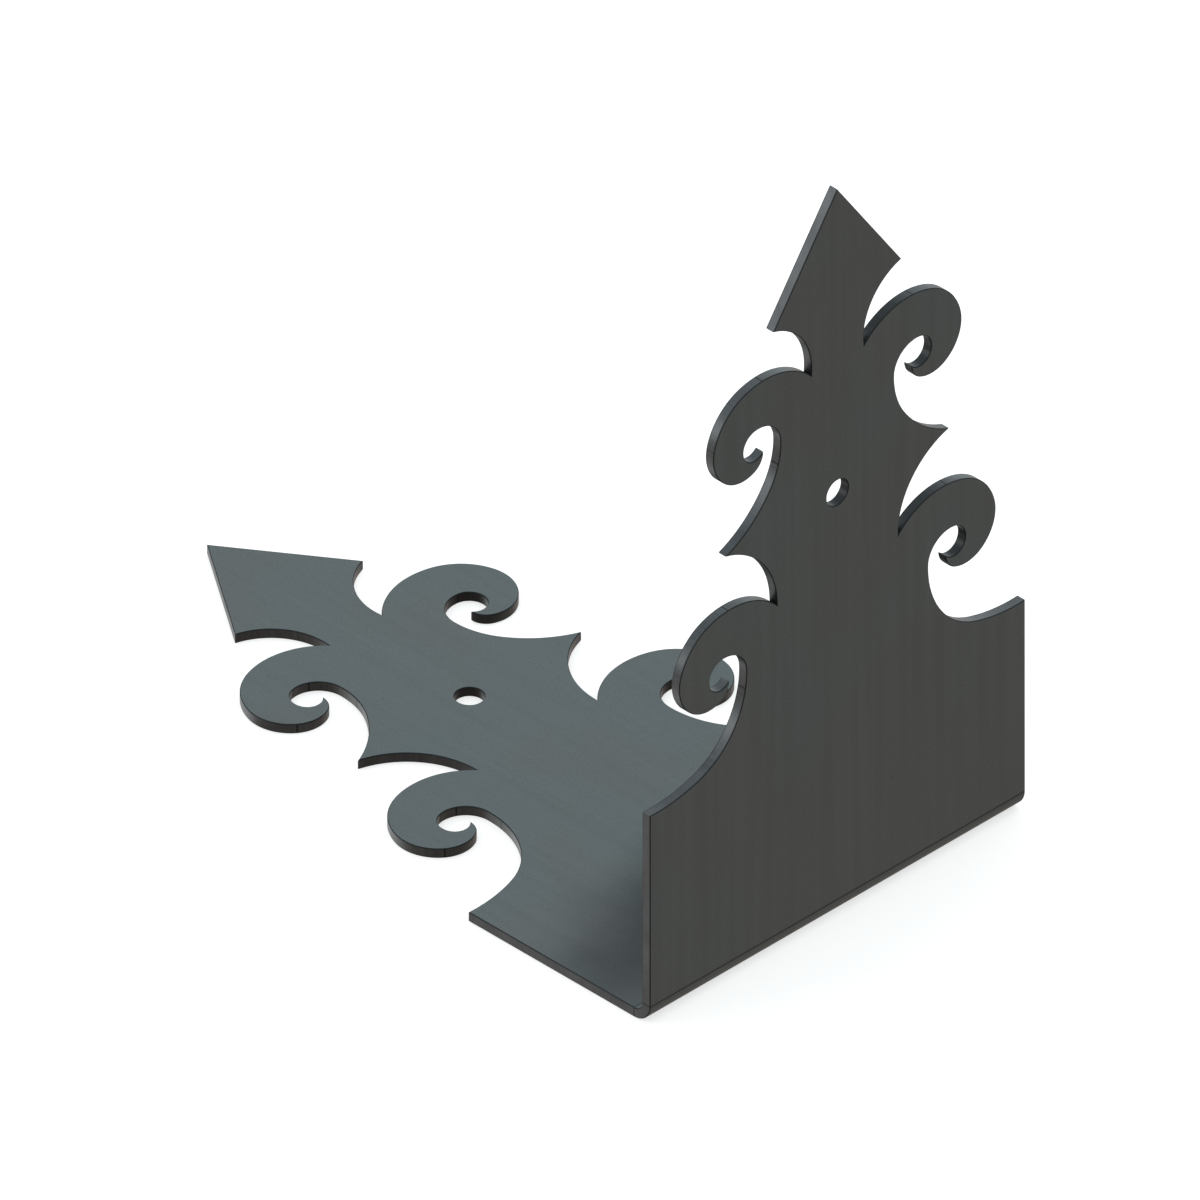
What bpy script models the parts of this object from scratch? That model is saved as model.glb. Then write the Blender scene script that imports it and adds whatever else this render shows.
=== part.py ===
"""Iron angle brace: one steel plate, cut out flat with scrolled sides and folded square.

Both legs have the same outline. The folded brace stands on its flat leg, with +X along
the fold, +Y out along the flat leg and +Z up the upright one. The origin is on the floor,
under the middle of the brace.
"""

import math

import bmesh
import bpy
from mathutils import Vector

MM = 0.001

# Plate and fold
PLATE_THICKNESS = 4.75 * MM
FOLD_INNER_RADIUS = PLATE_THICKNESS
FOLD_OUTER_RADIUS = FOLD_INNER_RADIUS + PLATE_THICKNESS
NEUTRAL_DEPTH = 0.42
FOLD_FACETS = 10

# Legs, measured from the outer corner of the fold
LEG_LENGTH = 370 * MM
LEG_WIDTH = 220 * MM
SHOULDER_HEIGHT = 106.5 * MM
BOLT_HOLE_DIAMETER = 12.7 * MM
BOLT_HOLE_HEIGHT = 216 * MM

# Corners of one leg's right half: distance from its centre line, height up the leg
POINT = Vector((0, LEG_LENGTH))
SPEAR_BARB = Vector((37.5 * MM, 316 * MM))
SPEAR_BACK_RADIUS = 30.5 * MM
UPPER_NOTCH = Vector((15.5 * MM, 283 * MM))
CUSP = Vector((65.5 * MM, BOLT_HOLE_HEIGHT))
CUSP_BACK_RADIUS = 40.5 * MM
SCROLL_PITCH = Vector((20 * MM, -106.5 * MM))
LOWER_NOTCH = UPPER_NOTCH + SCROLL_PITCH
SHOULDER = Vector((LEG_WIDTH / 2, SHOULDER_HEIGHT))

# Scroll: each arc is a radius and the degrees it turns through
CREST_HEADING = 47
SCROLL_CREST = ((36.5 * MM, 67), (28 * MM, 55), (20 * MM, 68), (16 * MM, 62))
HOOK_FROM_NOTCH = Vector((28 * MM, -24.5 * MM))
EYE_HEADING = -50
SCROLL_EYE = ((6.5 * MM, 119), (8 * MM, 102), (13 * MM, 98))
UPPER_FLANK = ((37.5 * MM, 34),)
LOWER_FLANK = ((46 * MM, 36), (38.5 * MM, 37))

# Smoothness of the round stretches
DEGREES_PER_CHORD = 6
MERGE_DISTANCE = 0.001 * MM

# Dark rolled steel
STEEL_COLOUR = (0.072, 0.076, 0.075, 1)
STEEL_METALLIC = 0.6
STEEL_ROUGHNESS = 0.5


class CuttingPath:
    """The torch's path along the plate, a chain of edges that grows from its last vertex."""

    def __init__(self, mesh, start):
        self.mesh = mesh
        self.first = mesh.verts.new(start.to_3d())
        self.last = self.first
        self.heading = 0.0

    def aim(self, degrees):
        """Set the direction of travel, counted anticlockwise from +X."""
        self.heading = math.radians(degrees)

    def line_to(self, point):
        """Cut straight to a point."""
        vertex = self.mesh.verts.new(point.to_3d())
        self.mesh.edges.new((self.last, vertex))
        self.last = vertex

    def arc(self, radius, turn):
        """Cut an arc that carries on smoothly, turning left where turn is positive."""
        side = math.copysign(radius, turn)
        offset = Vector((-math.sin(self.heading), math.cos(self.heading))) * side
        spun = bmesh.ops.spin(
            self.mesh,
            geom=[self.last],
            cent=self.last.co + offset.to_3d(),
            axis=(0, 0, 1),
            angle=turn,
            steps=max(1, math.ceil(abs(math.degrees(turn)) / DEGREES_PER_CHORD)),
        )
        self.last = spun["geom_last"][0]
        self.heading += turn

    def arcs(self, chain, side):
        """Cut a chain of radius and degrees pairs, to the left if side is 1, right if -1."""
        for radius, degrees in chain:
            self.arc(radius, side * math.radians(degrees))

    def arc_to(self, point):
        """Cut the one arc that carries on smoothly and ends at a point."""
        chord = point - self.last.co.to_2d()
        lean = math.atan2(chord.y, chord.x) - self.heading
        lean = math.remainder(lean, math.tau)
        self.arc(chord.length / (2 * abs(math.sin(lean))), 2 * lean)

    def left_arc_to(self, point, radius):
        """Cut an arc of a given radius from a corner to a point, turning left."""
        chord = point - self.last.co.to_2d()
        half_turn = math.asin(chord.length / (2 * radius))
        self.heading = math.atan2(chord.y, chord.x) - half_turn
        self.arc(radius, 2 * half_turn)

    def close(self):
        """Join the end of the path to its start."""
        self.mesh.edges.new((self.last, self.first))


def cut_scroll(path, notch, flank, flank_end):
    """Cut one scroll: over its crest to the hook's point, round the eye and down the flank."""
    path.aim(CREST_HEADING)
    path.arcs(SCROLL_CREST, -1)
    path.arc_to(notch + HOOK_FROM_NOTCH)
    path.aim(EYE_HEADING)
    path.arcs(SCROLL_EYE, 1)
    path.arcs(flank, 1)
    path.arc_to(flank_end)


def cut_quarter(mesh, fold_line):
    """Cut half of one leg, from its point to the fold line and back up its middle."""
    bolt_radius = BOLT_HOLE_DIAMETER / 2
    path = CuttingPath(mesh, POINT)
    path.line_to(SPEAR_BARB)
    path.left_arc_to(UPPER_NOTCH, SPEAR_BACK_RADIUS)
    cut_scroll(path, UPPER_NOTCH, UPPER_FLANK, CUSP)
    path.left_arc_to(LOWER_NOTCH, CUSP_BACK_RADIUS)
    cut_scroll(path, LOWER_NOTCH, LOWER_FLANK, SHOULDER)
    path.line_to(Vector((SHOULDER.x, fold_line)))
    path.line_to(Vector((0, fold_line)))
    path.line_to(Vector((0, BOLT_HOLE_HEIGHT - bolt_radius)))
    path.aim(0)
    path.arc(bolt_radius, math.pi)
    path.close()
    bmesh.ops.edgeloop_fill(mesh, edges=mesh.edges[:])


def mirror(mesh, axis):
    """Add the mirror image of everything, joined along the mirror line."""
    geometry = mesh.verts[:] + mesh.edges[:] + mesh.faces[:]
    bmesh.ops.mirror(mesh, geom=geometry, axis=axis, merge_dist=MERGE_DISTANCE)
    bmesh.ops.recalc_face_normals(mesh, faces=mesh.faces[:])


def score_fold(mesh, fold_length):
    """Divide the plate along straight lines across the fold, where it will bend."""
    for step in range(FOLD_FACETS + 1):
        bmesh.ops.bisect_plane(
            mesh,
            geom=mesh.verts[:] + mesh.edges[:] + mesh.faces[:],
            plane_co=(0, fold_length * (step / FOLD_FACETS - 0.5), 0),
            plane_no=(0, 1, 0),
            dist=MERGE_DISTANCE,
        )


def folded(flat, fold_length):
    """Where a point of the flat plate goes when the plate is folded to a right angle."""
    heel = -LEG_LENGTH / 2
    past_fold = abs(flat.y) - fold_length / 2
    if past_fold >= 0 and flat.y > 0:
        return Vector((flat.x, heel + FOLD_OUTER_RADIUS + past_fold, flat.z))
    if past_fold >= 0:
        return Vector((flat.x, heel + flat.z, FOLD_OUTER_RADIUS + past_fold))
    angle = (flat.y / fold_length + 0.5) * math.pi / 2
    radius = FOLD_OUTER_RADIUS - flat.z
    return Vector((
        flat.x,
        heel + FOLD_OUTER_RADIUS - radius * math.cos(angle),
        FOLD_OUTER_RADIUS - radius * math.sin(angle),
    ))


def fold_plate(mesh, fold_length):
    """Press the plate square: the stretch across the fold becomes a quarter turn."""
    for vertex in mesh.verts:
        vertex.co = folded(vertex.co, fold_length)


def steel():
    """Hot rolled plate under its dark scale."""
    material = bpy.data.materials.new("dark_rolled_steel")
    material.use_nodes = True
    shader = material.node_tree.nodes["Principled BSDF"]
    shader.inputs["Base Color"].default_value = STEEL_COLOUR
    shader.inputs["Metallic"].default_value = STEEL_METALLIC
    shader.inputs["Roughness"].default_value = STEEL_ROUGHNESS
    return material


def folded_scroll_plate():
    """The whole brace: cut a quarter, mirror it twice, give it thickness and fold it."""
    neutral_radius = FOLD_INNER_RADIUS + NEUTRAL_DEPTH * PLATE_THICKNESS
    fold_length = neutral_radius * math.pi / 2
    fold_line = FOLD_OUTER_RADIUS - fold_length / 2
    mesh = bmesh.new()
    cut_quarter(mesh, fold_line)
    bmesh.ops.translate(mesh, verts=mesh.verts[:], vec=(0, -fold_line, 0))
    mirror(mesh, "X")
    mirror(mesh, "Y")
    sheet = bmesh.ops.extrude_face_region(mesh, geom=mesh.faces[:])
    raised = [part for part in sheet["geom"] if isinstance(part, bmesh.types.BMVert)]
    bmesh.ops.translate(mesh, verts=raised, vec=(0, 0, PLATE_THICKNESS))
    score_fold(mesh, fold_length)
    fold_plate(mesh, fold_length)
    bmesh.ops.recalc_face_normals(mesh, faces=mesh.faces[:])
    data = bpy.data.meshes.new("folded_scroll_plate")
    mesh.to_mesh(data)
    mesh.free()
    data.shade_smooth()
    data.set_sharp_from_angle(angle=math.radians(30))
    data.materials.append(steel())
    plate = bpy.data.objects.new("folded_scroll_plate", data)
    bpy.context.scene.collection.objects.link(plate)
    return plate


for leftover in list(bpy.data.objects):
    bpy.data.objects.remove(leftover, do_unlink=True)
folded_scroll_plate()
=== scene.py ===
import math

import bmesh
import bpy
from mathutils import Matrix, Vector


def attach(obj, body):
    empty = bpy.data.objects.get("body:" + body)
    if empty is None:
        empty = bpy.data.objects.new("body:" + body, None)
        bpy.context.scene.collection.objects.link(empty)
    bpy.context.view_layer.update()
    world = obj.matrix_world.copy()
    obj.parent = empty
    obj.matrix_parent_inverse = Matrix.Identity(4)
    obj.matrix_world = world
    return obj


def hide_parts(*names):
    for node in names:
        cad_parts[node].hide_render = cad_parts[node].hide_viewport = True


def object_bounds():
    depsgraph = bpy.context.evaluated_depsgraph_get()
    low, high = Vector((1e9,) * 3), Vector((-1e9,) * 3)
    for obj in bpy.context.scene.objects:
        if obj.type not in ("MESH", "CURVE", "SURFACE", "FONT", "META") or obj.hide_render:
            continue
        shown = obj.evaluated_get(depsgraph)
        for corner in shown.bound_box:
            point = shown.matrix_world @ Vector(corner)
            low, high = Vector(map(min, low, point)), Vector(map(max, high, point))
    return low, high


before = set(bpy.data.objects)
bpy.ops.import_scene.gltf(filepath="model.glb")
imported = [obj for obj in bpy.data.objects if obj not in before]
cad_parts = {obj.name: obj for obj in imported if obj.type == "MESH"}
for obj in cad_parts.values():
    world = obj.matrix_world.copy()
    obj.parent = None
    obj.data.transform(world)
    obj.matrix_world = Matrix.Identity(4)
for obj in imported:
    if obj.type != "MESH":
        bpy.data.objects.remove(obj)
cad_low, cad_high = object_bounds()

# The photograph's view
# It is a true isometric: no perspective, seen from the left, the front and above by equal
# amounts, with the middle of the fold's outer corner low and right of the picture's middle.
PICTURE_PIXELS = 1200
FOLD_CORNER_PIXEL = Vector((837.7, 917.8))
PIXELS_PER_METRE = 2410.8
CAMERA_DISTANCE = 2.0

fold_corner = Vector((0, cad_low.y, 0))
towards_camera = Vector((-1, -1, 1)).normalized()
camera = bpy.data.objects.new("isometric_camera", bpy.data.cameras.new("isometric_camera"))
bpy.context.scene.collection.objects.link(camera)
bpy.context.scene.camera = camera
camera.data.type = "ORTHO"
camera.data.ortho_scale = PICTURE_PIXELS / PIXELS_PER_METRE
camera.rotation_euler = towards_camera.to_track_quat("Z", "Y").to_euler()
picture_right = Vector((1, -1, 0)).normalized()
picture_up = towards_camera.cross(picture_right)
off_centre = (FOLD_CORNER_PIXEL - Vector((1, 1)) * PICTURE_PIXELS / 2) / PIXELS_PER_METRE
picture_centre = fold_corner - picture_right * off_centre.x + picture_up * off_centre.y
camera.location = picture_centre + towards_camera * CAMERA_DISTANCE

# The scrolled plate
# One piece of 3/16 inch hot rolled steel plate, cut out flat by torch and then pressed to a
# right angle. Two bolts hold it where it is used, one through the hole in each leg.
MM = 0.001
PLATE_THICKNESS = 4.75 * MM
FOLD_INNER_RADIUS = PLATE_THICKNESS
FOLD_OUTER_RADIUS = FOLD_INNER_RADIUS + PLATE_THICKNESS
NEUTRAL_DEPTH = 0.42
FOLD_FACETS = 30
LEG_LENGTH = 370 * MM
LEG_WIDTH = 220 * MM
BOLT_HOLE_DIAMETER = 12.7 * MM
BOLT_HOLE_HEIGHT = 216 * MM
POINT = Vector((0, LEG_LENGTH))
SPEAR_BARB = Vector((37.5 * MM, 316 * MM))
SPEAR_BACK_RADIUS = 30.5 * MM
UPPER_NOTCH = Vector((15.5 * MM, 283 * MM))
CUSP = Vector((65.5 * MM, BOLT_HOLE_HEIGHT))
CUSP_BACK_RADIUS = 40.5 * MM
LOWER_NOTCH = UPPER_NOTCH + Vector((20 * MM, -106.5 * MM))
SHOULDER = Vector((LEG_WIDTH / 2, 106.5 * MM))
CREST_HEADING = 47
PAUSE = "the torch slows here and burns a line straight through the plate"
# These two marks begin and end a stretch of cut edge that is darkened with painted shade.
PAINTED_SHADE_ON = "its smoke blackens the edge from here on"
PAINTED_SHADE_OFF = "its smoke blows away from here on"
SCROLL_CREST = (
    PAINTED_SHADE_ON,
    (36.5 * MM, 50),
    PAUSE,
    PAINTED_SHADE_OFF,
    (36.5 * MM, 17),
    (28 * MM, 55),
    (20 * MM, 68),
    PAUSE,
    (16 * MM, 62),
    PAINTED_SHADE_ON,
)
HOOK_FROM_NOTCH = Vector((28 * MM, -24.5 * MM))
EYE_HEADING = -50
SCROLL_EYE = (
    (6.5 * MM, 119),
    (8 * MM, 102),
    PAUSE,
    (13 * MM, 36),
    PAUSE,
    (13 * MM, 62),
    PAINTED_SHADE_OFF,
)
UPPER_FLANK = ((37.5 * MM, 17), PAUSE, (37.5 * MM, 17))
LOWER_FLANK = ((46 * MM, 11), PAUSE, (46 * MM, 25), (38.5 * MM, 37))
CHORD = 1 * MM
# The painted shade on the cut edge fades in and out over this many steps of the path.
PAINTED_SHADE_FADE_STEPS = 9
ARRIS_WIDTH = 0.35 * MM
ARRIS_SEGMENTS = 2
SHARP_DEGREES = 20
MERGE_DISTANCE = 0.001 * MM


class CuttingPath:
    """The torch's path along the plate, a chain of edges that grows from its last vertex."""

    def __init__(self, mesh, start):
        self.mesh = mesh
        self.first = mesh.verts.new(start.to_3d())
        self.last = self.first
        self.heading = 0.0
        self.pauses = []
        self.smoke = mesh.verts.layers.float["painted_edge_shade"]

    def line_to(self, point):
        """Cut straight to a point."""
        vertex = self.mesh.verts.new(point.to_3d())
        self.mesh.edges.new((self.last, vertex))
        self.last = vertex

    def arc(self, radius, turn):
        """Cut an arc that carries on smoothly, turning left where turn is positive."""
        side = math.copysign(radius, turn)
        offset = Vector((-math.sin(self.heading), math.cos(self.heading))) * side
        spun = bmesh.ops.spin(
            self.mesh,
            geom=[self.last],
            cent=self.last.co + offset.to_3d(),
            axis=(0, 0, 1),
            angle=turn,
            steps=max(1, round(abs(turn) * radius / CHORD)),
        )
        self.last = spun["geom_last"][0]
        self.heading += turn

    def arcs(self, chain, side):
        """Cut a chain of radius and degrees pairs, to the left if side is 1, right if -1.

        PAUSE marks the spot that it stands at. The other two marks begin and end a stretch of
        painted shade, because the vertices of an arc take over the shade of the one it starts from.
        """
        for step in chain:
            if step is PAUSE:
                self.pauses.append(self.last)
            elif step in (PAINTED_SHADE_ON, PAINTED_SHADE_OFF):
                self.last[self.smoke] = step is PAINTED_SHADE_ON
            else:
                self.arc(step[0], side * math.radians(step[1]))

    def arc_to(self, point):
        """Cut the one arc that carries on smoothly and ends at a point."""
        chord = point - self.last.co.to_2d()
        lean = math.remainder(math.atan2(chord.y, chord.x) - self.heading, math.tau)
        self.arc(chord.length / (2 * abs(math.sin(lean))), 2 * lean)

    def left_arc_to(self, point, radius):
        """Cut an arc of a given radius from a corner to a point, turning left."""
        chord = point - self.last.co.to_2d()
        half_turn = math.asin(chord.length / (2 * radius))
        self.heading = math.atan2(chord.y, chord.x) - half_turn
        self.arc(radius, 2 * half_turn)


def cut_scroll(path, notch, flank, flank_end):
    """Cut one scroll: over its crest to the hook's point, round the eye and down the flank."""
    path.heading = math.radians(CREST_HEADING)
    path.arcs(SCROLL_CREST, -1)
    path.arc_to(notch + HOOK_FROM_NOTCH)
    path.heading = math.radians(EYE_HEADING)
    path.arcs(SCROLL_EYE, 1)
    path.arcs(flank, 1)
    path.arc_to(flank_end)


def folded(flat, fold_length):
    """Where a point of the flat plate goes when the plate is folded to a right angle."""
    heel = cad_low.y
    past_fold = abs(flat.y) - fold_length / 2
    if past_fold >= 0 and flat.y > 0:
        return Vector((flat.x, heel + FOLD_OUTER_RADIUS + past_fold, flat.z))
    if past_fold >= 0:
        return Vector((flat.x, heel + flat.z, FOLD_OUTER_RADIUS + past_fold))
    angle = (flat.y / fold_length + 0.5) * math.pi / 2
    radius = FOLD_OUTER_RADIUS - flat.z
    along = heel + FOLD_OUTER_RADIUS - radius * math.cos(angle)
    return Vector((flat.x, along, FOLD_OUTER_RADIUS - radius * math.sin(angle)))


fold_length = (FOLD_INNER_RADIUS + NEUTRAL_DEPTH * PLATE_THICKNESS) * math.pi / 2
fold_line = FOLD_OUTER_RADIUS - fold_length / 2
mesh = bmesh.new()
torch_pause = mesh.verts.layers.float.new("torch_pause")
painted_edge_shade = mesh.verts.layers.float.new("painted_edge_shade")
path = CuttingPath(mesh, POINT)
path.line_to(SPEAR_BARB)
path.left_arc_to(UPPER_NOTCH, SPEAR_BACK_RADIUS)
cut_scroll(path, UPPER_NOTCH, UPPER_FLANK, CUSP)
path.left_arc_to(LOWER_NOTCH, CUSP_BACK_RADIUS)
cut_scroll(path, LOWER_NOTCH, LOWER_FLANK, SHOULDER)
for vertex in path.pauses:
    vertex[torch_pause] = 1
# The painted shade on the cut edge is smoothed so that it fades in and out along the path.
smoke = [vertex[painted_edge_shade] for vertex in mesh.verts]
for number, vertex in enumerate(mesh.verts):
    nearby = smoke[max(0, number - PAINTED_SHADE_FADE_STEPS) : number + PAINTED_SHADE_FADE_STEPS + 1]
    vertex[painted_edge_shade] = sum(nearby) / len(nearby)
path.line_to(Vector((SHOULDER.x, fold_line)))
path.line_to(Vector((0, fold_line)))
path.line_to(Vector((0, BOLT_HOLE_HEIGHT - BOLT_HOLE_DIAMETER / 2)))
path.heading = 0.0
# The bolt hole's cut edge is darkened all round with painted shade.
path.last[painted_edge_shade] = 1
path.arc(BOLT_HOLE_DIAMETER / 2, math.pi)
mesh.edges.new((path.last, path.first))
bmesh.ops.edgeloop_fill(mesh, edges=mesh.edges[:])
bmesh.ops.translate(mesh, verts=mesh.verts[:], vec=(0, -fold_line, 0))
for axis in "XY":
    everything = mesh.verts[:] + mesh.edges[:] + mesh.faces[:]
    bmesh.ops.mirror(mesh, geom=everything, axis=axis, merge_dist=MERGE_DISTANCE)
    bmesh.ops.recalc_face_normals(mesh, faces=mesh.faces[:])
sheet = bmesh.ops.extrude_face_region(mesh, geom=mesh.faces[:])
raised = [part for part in sheet["geom"] if isinstance(part, bmesh.types.BMVert)]
bmesh.ops.translate(mesh, verts=raised, vec=(0, 0, PLATE_THICKNESS))
bmesh.ops.recalc_face_normals(mesh, faces=mesh.faces[:])
FACE, CUT_EDGE, ARRIS = range(3)
for face in mesh.faces:
    face.material_index = FACE if abs(face.normal.z) > 0.5 else CUT_EDGE
sharp = [e for e in mesh.edges if len({f.material_index for f in e.link_faces}) == 2]
rounded = bmesh.ops.bevel(
    mesh,
    geom=sharp,
    offset=ARRIS_WIDTH,
    offset_type="OFFSET",
    segments=ARRIS_SEGMENTS,
    profile=0.5,
    affect="EDGES",
    material=-1,
)
for face in rounded["faces"]:
    face.material_index = ARRIS
for step in range(FOLD_FACETS + 1):
    bmesh.ops.bisect_plane(
        mesh,
        geom=mesh.verts[:] + mesh.edges[:] + mesh.faces[:],
        plane_co=(0, fold_length * (step / FOLD_FACETS - 0.5), 0),
        plane_no=(0, 1, 0),
        dist=MERGE_DISTANCE,
    )
flat_place = mesh.verts.layers.float_vector.new("flat_place")
for vertex in mesh.verts:
    vertex[flat_place] = vertex.co
    vertex.co = folded(vertex.co, fold_length)
bmesh.ops.recalc_face_normals(mesh, faces=mesh.faces[:])
plate_data = bpy.data.meshes.new("scrolled_plate")
mesh.to_mesh(plate_data)
mesh.free()
plate_data.shade_smooth()
plate_data.set_sharp_from_angle(angle=math.radians(SHARP_DEGREES))
plate = bpy.data.objects.new("scrolled_plate", plate_data)
bpy.context.scene.collection.objects.link(plate)


def linear(hex_colour):
    """An sRGB hex colour as linear red, green, blue and full alpha."""
    parts = [int(hex_colour[i : i + 2], 16) / 255 for i in (1, 3, 5)]
    return [p / 12.92 if p <= 0.04045 else ((p + 0.055) / 1.055) ** 2.4 for p in parts] + [1]


def add(tree, kind, inputs, **settings):
    """Add a node with its settings, its inputs set or linked, and give back its outputs."""
    node = tree.nodes.new(kind)
    for name, value in settings.items():
        setattr(node, name, value)
    for name, value in inputs.items():
        if isinstance(value, bpy.types.NodeSocket):
            tree.links.new(value, node.inputs[name])
        else:
            node.inputs[name].default_value = value
    return node.outputs


def darkened(tree, shade, where, depth):
    """A shade made darker by a share, where a mask says."""
    factor = add(tree, "ShaderNodeMath", {0: where, 1: -depth, 2: 1.0}, operation="MULTIPLY_ADD")
    return add(tree, "ShaderNodeMath", {0: shade, 1: factor["Value"]}, operation="MULTIPLY")["Value"]


FOLD_MARK_WIDTH = 1.2 * MM


def fold_marks(tree, along):
    """The two edges of the fold, where the press marked the plate, as a mask."""
    away = add(tree, "ShaderNodeMath", {0: along}, operation="ABSOLUTE")["Value"]
    past = add(tree, "ShaderNodeMath", {0: away, 1: fold_length / 2}, operation="SUBTRACT")["Value"]
    off = add(tree, "ShaderNodeMath", {0: past}, operation="ABSOLUTE")["Value"]
    ends = {"Value": off, "From Min": FOLD_MARK_WIDTH / 2, "From Max": 0}
    return add(tree, "ShaderNodeMapRange", ends)["Result"]


# Hot rolled steel under its mill scale: a dark grey oxide skin, satin and nearly even, which
# looks blue-grey where it mirrors the cool light from above. It has faint streaks along the
# way it was rolled, a fine grain and a few pits where scale was rolled in. The inside of the
# fold is darkened with painted shade, which is strongest on the leg that it stands on.
# The grain is really about 0.2 mm across, and is drawn coarser so that it shows.
DRIFT_SIZE = 90 * MM
STREAK_WIDTH = 5 * MM
STREAK_LENGTH = 160 * MM
STREAK_DEPTH = 0.3
GRAIN_SIZE = 0.7 * MM
GRAIN_HEIGHT = 0.03 * MM
GRAIN_DEPTH = 0.5
PIT_SPACING = 11 * MM
PIT_RADIUS = 0.55 * MM
PIT_BOTTOM_RADIUS = 0.22 * MM
PIT_DEPTH = 0.3
# The painted shade inside the fold: where it is centred, how far it reaches, its core, its spread,
# its uneven edge and its depth.
PAINTED_FOLD_SHADE_MIDDLE = 20 * MM
PAINTED_FOLD_SHADE_REACH = 88 * MM
PAINTED_FOLD_SHADE_CORE = 38 * MM
PAINTED_FOLD_SHADE_SPREAD = 2.1
PAINTED_FOLD_SHADE_CLOUD_SIZE = 40 * MM
PAINTED_FOLD_SHADE_CLOUD_DEPTH = 20 * MM
PAINTED_FOLD_SHADE_DEPTH = 0.76
FOLD_MARK_DEPTH = 0.75
SCALE_ROUGHNESS = {"To Min": 0.49, "To Max": 0.53}
# Noise nearly always keeps to this span, and mostly to this middle.
NOISE_MIDDLE = {"From Min": 0.35, "From Max": 0.65}
NOISE_SPAN = {"From Min": 0.3, "From Max": 0.7}

scale = bpy.data.materials.new("hot_rolled_mill_scale")
scale.use_nodes = True
tree = scale.node_tree
tree.nodes.clear()
place = add(tree, "ShaderNodeAttribute", {}, attribute_name="flat_place")["Vector"]
axes = add(tree, "ShaderNodeSeparateXYZ", {"Vector": place})
drift = add(tree, "ShaderNodeTexNoise", {"Vector": place, "Scale": 1 / DRIFT_SIZE})["Fac"]
drift = add(tree, "ShaderNodeMapRange", {"Value": drift, **NOISE_MIDDLE})["Result"]
tints = {"Factor": drift, "A": linear("#5e6160"), "B": linear("#605f5d")}
tint = add(tree, "ShaderNodeMix", tints, data_type="RGBA")["Result"]
rolling = (1 / STREAK_WIDTH, 1 / STREAK_LENGTH, 1 / STREAK_WIDTH)
rolled = add(tree, "ShaderNodeMapping", {"Vector": place, "Scale": rolling})["Vector"]
streaks = add(tree, "ShaderNodeTexNoise", {"Vector": rolled, "Scale": 1, "Detail": 4})["Fac"]
grain = add(tree, "ShaderNodeTexNoise", {"Vector": place, "Scale": 1 / GRAIN_SIZE})["Fac"]
streaked = {0: streaks, 1: STREAK_DEPTH, 2: 1 - STREAK_DEPTH / 2}
shade = add(tree, "ShaderNodeMath", streaked, operation="MULTIPLY_ADD")["Value"]
flecked = {0: grain, 1: GRAIN_DEPTH, 2: 1 - GRAIN_DEPTH / 2}
fleck = add(tree, "ShaderNodeMath", flecked, operation="MULTIPLY_ADD")["Value"]
shade = add(tree, "ShaderNodeMath", {0: shade, 1: fleck}, operation="MULTIPLY")["Value"]
pit = add(tree, "ShaderNodeTexVoronoi", {"Vector": place, "Scale": 1 / PIT_SPACING})["Distance"]
pit_rim = PIT_RADIUS / PIT_SPACING
pit_bottom = PIT_BOTTOM_RADIUS / PIT_SPACING
ends = {"Value": pit, "From Min": pit_rim, "From Max": pit_bottom}
pit = add(tree, "ShaderNodeMapRange", ends, interpolation_type="SMOOTHSTEP")["Result"]
shade = darkened(tree, shade, pit, PIT_DEPTH)
# Painted shade: the inside face gets darker towards the fold, most on the leg that it stands on, with
# an uneven edge.
from_painted_fold_shade = {0: place, 1: (1 / PAINTED_FOLD_SHADE_SPREAD, 1, 0), 2: (0, -PAINTED_FOLD_SHADE_MIDDLE, 0)}
from_painted_fold_shade = add(tree, "ShaderNodeVectorMath", from_painted_fold_shade, operation="MULTIPLY_ADD")["Vector"]
from_painted_fold_shade = add(tree, "ShaderNodeVectorMath", {0: from_painted_fold_shade}, operation="LENGTH")["Value"]
cloud = add(tree, "ShaderNodeTexNoise", {"Vector": place, "Scale": 1 / PAINTED_FOLD_SHADE_CLOUD_SIZE})["Fac"]
clouded = {0: cloud, 1: PAINTED_FOLD_SHADE_CLOUD_DEPTH, 2: from_painted_fold_shade}
from_painted_fold_shade = add(tree, "ShaderNodeMath", clouded, operation="MULTIPLY_ADD")["Value"]
ends = {"Value": from_painted_fold_shade, "From Min": PAINTED_FOLD_SHADE_REACH, "From Max": PAINTED_FOLD_SHADE_CORE}
painted_fold_shade = add(tree, "ShaderNodeMapRange", ends, interpolation_type="SMOOTHSTEP")["Result"]
inside = add(tree, "ShaderNodeMath", {0: axes["Z"], 1: PLATE_THICKNESS / 2}, operation="GREATER_THAN")
painted_fold_shade = add(tree, "ShaderNodeMath", {0: painted_fold_shade, 1: inside["Value"]}, operation="MULTIPLY")["Value"]
shade = darkened(tree, shade, painted_fold_shade, PAINTED_FOLD_SHADE_DEPTH)
shade = darkened(tree, shade, fold_marks(tree, axes["Y"]), FOLD_MARK_DEPTH)
colour = add(tree, "ShaderNodeHueSaturation", {"Color": tint, "Value": shade})["Color"]
gloss = {"Value": streaks, **NOISE_SPAN, **SCALE_ROUGHNESS}
roughness = add(tree, "ShaderNodeMapRange", gloss)["Result"]
height = add(tree, "ShaderNodeMath", {0: grain, 1: pit}, operation="SUBTRACT")["Value"]
relief = {"Height": height, "Distance": GRAIN_HEIGHT}
normal = add(tree, "ShaderNodeBump", relief)["Normal"]
finish = {"Base Color": colour, "Metallic": 0.8, "Roughness": roughness, "Normal": normal}
shader = add(tree, "ShaderNodeBsdfPrincipled", finish)["BSDF"]
add(tree, "ShaderNodeOutputMaterial", {"Surface": shader})

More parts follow.
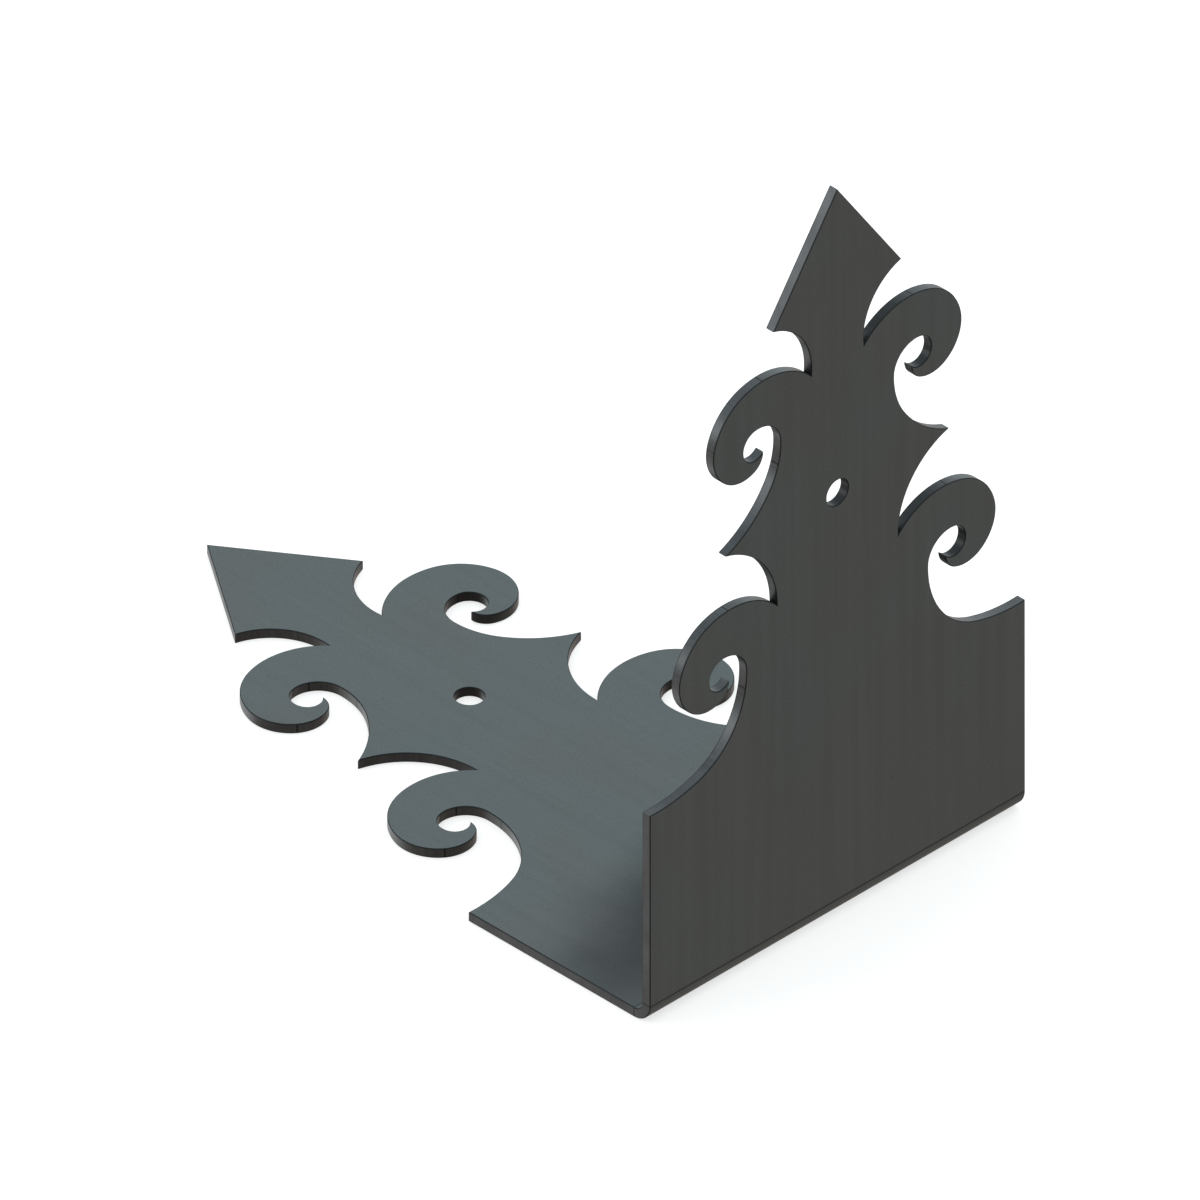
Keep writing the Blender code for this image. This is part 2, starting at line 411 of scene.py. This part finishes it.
# The torch-cut edge: steel burnt through and oxidised as it cooled, so it is smoother and
# glossier than the scale. It shows fine drag lines straight through the plate, a band of
# blacker oxide along both arrises, and a dark line wherever the torch slowed between two
# arcs. Painted shade darkens the bolt holes all round, and on the +X side the scrolls' eyes
# and the first stretch of their crests.
# The drag lines are really about 0.5 mm apart, and are drawn coarser so that they show.
DRAG_LINE_SPACING = 1.1 * MM
DRAG_LINE_LENGTH = 11 * MM
DRAG_LINE_HEIGHT = 0.05 * MM
DRAG_LINE_DEPTH = 0.5
BURN_LENGTH = 14 * MM
OXIDE_BAND = 0.9 * MM
OXIDE_DEPTH = 0.6
PAUSE_FADE = {"From Min": 0.45, "From Max": 0.9}
PAUSE_DEPTH = 0.75
PAINTED_EDGE_SHADE_DEPTH = 0.6
EDGE_ROUGHNESS = {"To Min": 0.3, "To Max": 0.42}

edge = bpy.data.materials.new("torch_cut_steel")
edge.use_nodes = True
tree = edge.node_tree
tree.nodes.clear()
place = add(tree, "ShaderNodeAttribute", {}, attribute_name="flat_place")["Vector"]
axes = add(tree, "ShaderNodeSeparateXYZ", {"Vector": place})
through = (1 / DRAG_LINE_SPACING, 1 / DRAG_LINE_SPACING, 1 / DRAG_LINE_LENGTH)
dragged = add(tree, "ShaderNodeMapping", {"Vector": place, "Scale": through})["Vector"]
lines = add(tree, "ShaderNodeTexNoise", {"Vector": dragged, "Scale": 1})["Fac"]
burn = add(tree, "ShaderNodeTexNoise", {"Vector": place, "Scale": 1 / BURN_LENGTH})["Fac"]
burn = add(tree, "ShaderNodeMapRange", {"Value": burn, **NOISE_MIDDLE})["Result"]
tints = {"Factor": burn, "A": linear("#4b4a4a"), "B": linear("#565555")}
tint = add(tree, "ShaderNodeMix", tints, data_type="RGBA")["Result"]
lined = {0: lines, 1: DRAG_LINE_DEPTH, 2: 1 - DRAG_LINE_DEPTH / 2}
shade = add(tree, "ShaderNodeMath", lined, operation="MULTIPLY_ADD")["Value"]
middle = PLATE_THICKNESS / 2
from_middle = add(tree, "ShaderNodeMath", {0: axes["Z"], 1: middle}, operation="SUBTRACT")
from_middle = add(tree, "ShaderNodeMath", {0: from_middle["Value"]}, operation="ABSOLUTE")["Value"]
ends = {"Value": from_middle, "From Min": middle - OXIDE_BAND, "From Max": middle}
band = add(tree, "ShaderNodeMapRange", ends, interpolation_type="SMOOTHSTEP")["Result"]
shade = darkened(tree, shade, band, OXIDE_DEPTH)
pause = add(tree, "ShaderNodeAttribute", {}, attribute_name="torch_pause")["Fac"]
ends = {"Value": pause, **PAUSE_FADE}
pause = add(tree, "ShaderNodeMapRange", ends, interpolation_type="SMOOTHSTEP")["Result"]
shade = darkened(tree, shade, pause, PAUSE_DEPTH)
# Painted shade: the cut edge is darkened in the bolt holes and, on the +X side, in the scrolls' eyes
# and the first stretch of their crests.
smoke = add(tree, "ShaderNodeAttribute", {}, attribute_name="painted_edge_shade")["Fac"]
ends = {"Value": axes["X"], "From Min": -UPPER_NOTCH.x, "From Max": -BOLT_HOLE_DIAMETER / 2}
painted_shade_side = add(tree, "ShaderNodeMapRange", ends)["Result"]
smoke = add(tree, "ShaderNodeMath", {0: smoke, 1: painted_shade_side}, operation="MULTIPLY")["Value"]
shade = darkened(tree, shade, smoke, PAINTED_EDGE_SHADE_DEPTH)
shade = darkened(tree, shade, fold_marks(tree, axes["Y"]), FOLD_MARK_DEPTH)
colour = add(tree, "ShaderNodeHueSaturation", {"Color": tint, "Value": shade})["Color"]
gloss = {"Value": lines, **NOISE_SPAN, **EDGE_ROUGHNESS}
roughness = add(tree, "ShaderNodeMapRange", gloss)["Result"]
relief = {"Height": lines, "Distance": DRAG_LINE_HEIGHT}
normal = add(tree, "ShaderNodeBump", relief)["Normal"]
finish = {"Base Color": colour, "Metallic": 0.9, "Roughness": roughness, "Normal": normal}
shader = add(tree, "ShaderNodeBsdfPrincipled", finish)["BSDF"]
add(tree, "ShaderNodeOutputMaterial", {"Surface": shader})

# The burnt arris: the torch melts each arris over a little and burns it black, so every edge
# of the brace has a thin dark line, a touch uneven.
arris = bpy.data.materials.new("burnt_steel_arris")
arris.use_nodes = True
tree = arris.node_tree
tree.nodes.clear()
place = add(tree, "ShaderNodeAttribute", {}, attribute_name="flat_place")["Vector"]
uneven = add(tree, "ShaderNodeTexNoise", {"Vector": place, "Scale": 1 / DRAG_LINE_SPACING})["Fac"]
tints = {"Factor": uneven, "A": linear("#191b1b"), "B": linear("#303232")}
colour = add(tree, "ShaderNodeMix", tints, data_type="RGBA")["Result"]
finish = {"Base Color": colour, "Metallic": 0.8, "Roughness": 0.5}
shader = add(tree, "ShaderNodeBsdfPrincipled", finish)["BSDF"]
add(tree, "ShaderNodeOutputMaterial", {"Surface": shader})

for material in (scale, edge, arris):
    plate_data.materials.append(material)
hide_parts("folded_scroll_plate")
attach(plate, "root")

# The floor
# A plain pale studio floor, far wider than the picture and lit a little from below, as a
# light table is, so that shadows stay faint. Its warm white turns neutral in the cool light.
FLOOR_WIDTH = 12
FLOOR_GAP = 0.2 * MM
FLOOR_GLOW = 0.6
floor_mesh = bmesh.new()
bmesh.ops.create_grid(floor_mesh, x_segments=1, y_segments=1, size=FLOOR_WIDTH / 2)
bmesh.ops.translate(floor_mesh, verts=floor_mesh.verts[:], vec=(0, 0, cad_low.z - FLOOR_GAP))
floor_data = bpy.data.meshes.new("studio_floor")
floor_mesh.to_mesh(floor_data)
floor_mesh.free()
floor = bpy.data.objects.new("studio_floor", floor_data)
bpy.context.scene.collection.objects.link(floor)
acrylic = bpy.data.materials.new("matt_white_acrylic")
acrylic.use_nodes = True
tree = acrylic.node_tree
tree.nodes.clear()
finish = {"Base Color": linear("#cfc4be"), "Roughness": 0.9}
finish.update({"Emission Color": (1, 1, 1, 1), "Emission Strength": FLOOR_GLOW})
shader = add(tree, "ShaderNodeBsdfPrincipled", finish)["BSDF"]
add(tree, "ShaderNodeOutputMaterial", {"Surface": shader})
floor_data.materials.append(acrylic)
floor.visible_glossy = False
floor.visible_diffuse = False
floor.visible_shadow = False

# The light
# Soft studio light from all round, cool above and warmer below, with soft boxes to the right,
# to the left and low behind the brace. Black cloth hangs low down on the camera's side, which
# is what gives dark steel its shape.
ROOM_ABOVE = (0.9, 1.08, 1.16)
ROOM_BELOW = (0.45, 0.41, 0.37)
# The room's light turns from the one to the other between these heights.
HORIZON = {"From Min": -0.15, "From Max": 0.05}
SOFT_BOXES = (
    # degrees round from +X, degrees up, half its width in degrees, its red, green and blue
    (17, 0, 58, (0.3, 0.3, 0.3)),
    (145, 18, 20, (1.75, 1.75, 1.75)),
    (102, -30, 40, (0.82, 0.91, 0.97)),
)
# The black cloth is placed the same way, and takes a share of the light behind it.
BLACK_CLOTH = (242, -51, 66)
CLOTH_DEPTH = 0.34


def soft_spot(tree, towards, round_from_x, up, half_width):
    """A soft round spot in one direction: 1 at its middle, 0 outside its half width."""
    turn, rise = math.radians(round_from_x), math.radians(up)
    axis = (math.cos(turn) * math.cos(rise), math.sin(turn) * math.cos(rise), math.sin(rise))
    facing = add(tree, "ShaderNodeVectorMath", {0: towards, 1: axis}, operation="DOT_PRODUCT")
    ends = {"Value": facing["Value"], "From Min": math.cos(math.radians(half_width)), "From Max": 1}
    return add(tree, "ShaderNodeMapRange", ends, interpolation_type="SMOOTHSTEP")["Result"]


bpy.context.scene.view_settings.view_transform = "Standard"
world = bpy.data.worlds.new("pale_studio")
bpy.context.scene.world = world
world.use_nodes = True
tree = world.node_tree
tree.nodes.clear()
towards = add(tree, "ShaderNodeTexCoord", {})["Generated"]
axes = add(tree, "ShaderNodeSeparateXYZ", {"Vector": towards})
ends = {"Value": axes["Z"], **HORIZON}
above = add(tree, "ShaderNodeMapRange", ends, interpolation_type="SMOOTHSTEP")["Result"]
halves = {"Factor": above, "A": ROOM_BELOW, "B": ROOM_ABOVE}
light = add(tree, "ShaderNodeMix", halves, data_type="VECTOR")["Result"]
for *spot, glow in SOFT_BOXES:
    lit = {0: soft_spot(tree, towards, *spot), 1: glow, 2: light}
    light = add(tree, "ShaderNodeVectorMath", lit, operation="MULTIPLY_ADD")["Vector"]
shaded = darkened(tree, 1.0, soft_spot(tree, towards, *BLACK_CLOTH), CLOTH_DEPTH)
light = add(tree, "ShaderNodeVectorMath", {0: light, "Scale": shaded}, operation="SCALE")["Vector"]
seen = add(tree, "ShaderNodeLightPath", {})["Is Camera Ray"]
views = {"Factor": seen, "A": light, "B": (1, 1, 1)}
colour = add(tree, "ShaderNodeMix", views, data_type="VECTOR")["Result"]
background = add(tree, "ShaderNodeBackground", {"Color": colour})["Background"]
add(tree, "ShaderNodeOutputWorld", {"Surface": background})
